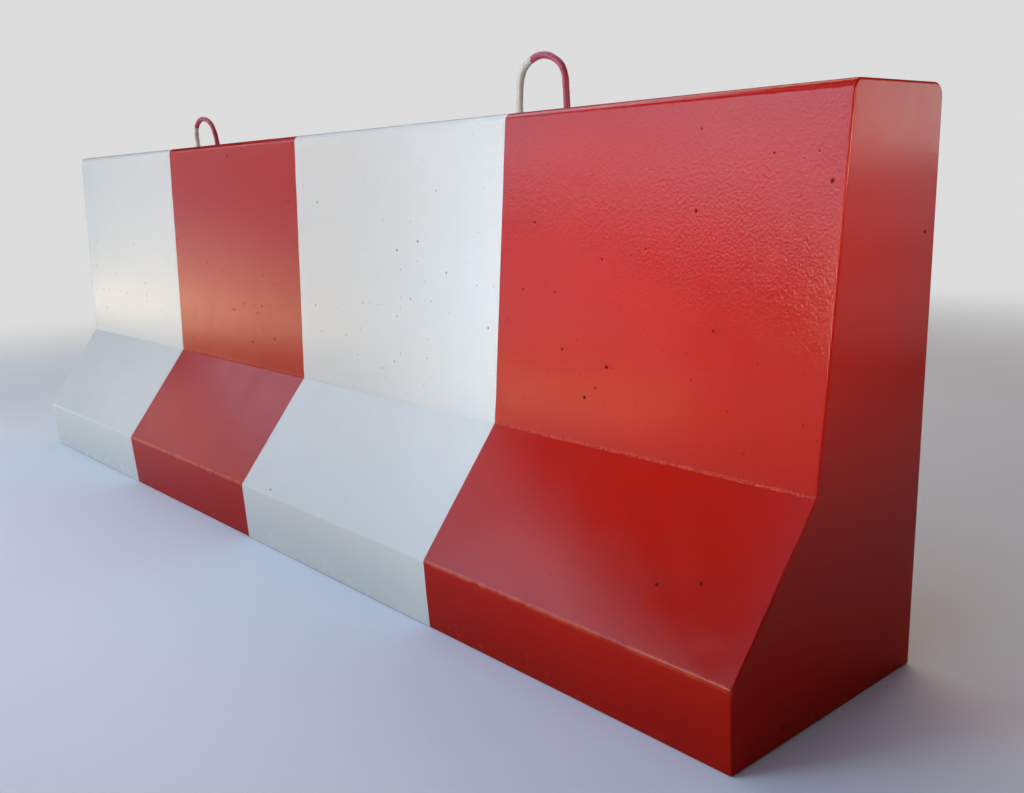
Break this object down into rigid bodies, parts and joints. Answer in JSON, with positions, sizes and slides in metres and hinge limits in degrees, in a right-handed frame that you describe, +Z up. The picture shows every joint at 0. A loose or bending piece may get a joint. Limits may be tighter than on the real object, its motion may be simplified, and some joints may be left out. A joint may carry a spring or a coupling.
{
  "type": "concrete road barrier block",
  "caption": "Precast concrete road barrier block with a toe on one side and a flat back, wide red and white paint bands and bent bar lifting loops in its top.",
  "frame": {"origin": "on the ground, under the middle of the block's bounding box", "axes": "+X along the block from its white end to its red end, +Y from the traffic side with the toe to the flat back, +Z up"},
  "size_m": [2.951, 0.461, 1.0058],
  "materials": {
    "concrete": "rough cast concrete, bare under the paint",
    "white_paint": "gloss enamel film, rolled on",
    "red_paint": "gloss enamel film, rolled on",
    "loop_steel": "smooth round bar, brushed over with the block's paint",
    "cage_steel": "dull mill scale with light rust",
    "spacer_plastic": "moulded, matt"
  },
  "bodies": {
    "root": {"concrete_body": "concrete", "white_paint_left_end": "white_paint", "red_paint_left_middle": "red_paint", "white_paint_right_middle": "white_paint", "red_paint_right_end": "red_paint", "lifting_loop_left": "loop_steel", "lifting_loop_right": "loop_steel", "loop_crossbars_left": "cage_steel", "loop_crossbars_right": "cage_steel", "back_spacer_wheels": "spacer_plastic", "base_back_bar": "cage_steel", "base_middle_bar": "cage_steel", "base_spacer_wheels": "spacer_plastic", "front_spacer_wheels": "spacer_plastic", "knee_bar": "cage_steel", "lower_back_bar": "cage_steel", "middle_back_bar": "cage_steel", "middle_front_bar": "cage_steel", "toe_link_01": "cage_steel", "toe_link_02": "cage_steel", "toe_link_03": "cage_steel", "toe_link_04": "cage_steel", "toe_link_05": "cage_steel", "toe_link_06": "cage_steel", "toe_link_07": "cage_steel", "toe_link_08": "cage_steel", "toe_link_09": "cage_steel", "toe_link_10": "cage_steel", "toe_link_11": "cage_steel", "toe_lower_bar": "cage_steel", "toe_upper_bar": "cage_steel", "top_back_bar": "cage_steel", "top_front_bar": "cage_steel", "wall_link_01": "cage_steel", "wall_link_02": "cage_steel", "wall_link_03": "cage_steel", "wall_link_04": "cage_steel", "wall_link_05": "cage_steel", "wall_link_06": "cage_steel", "wall_link_07": "cage_steel", "wall_link_08": "cage_steel", "wall_link_09": "cage_steel", "wall_link_10": "cage_steel", "wall_link_11": "cage_steel", "wall_link_12": "cage_steel"}
  },
  "joints": []
}
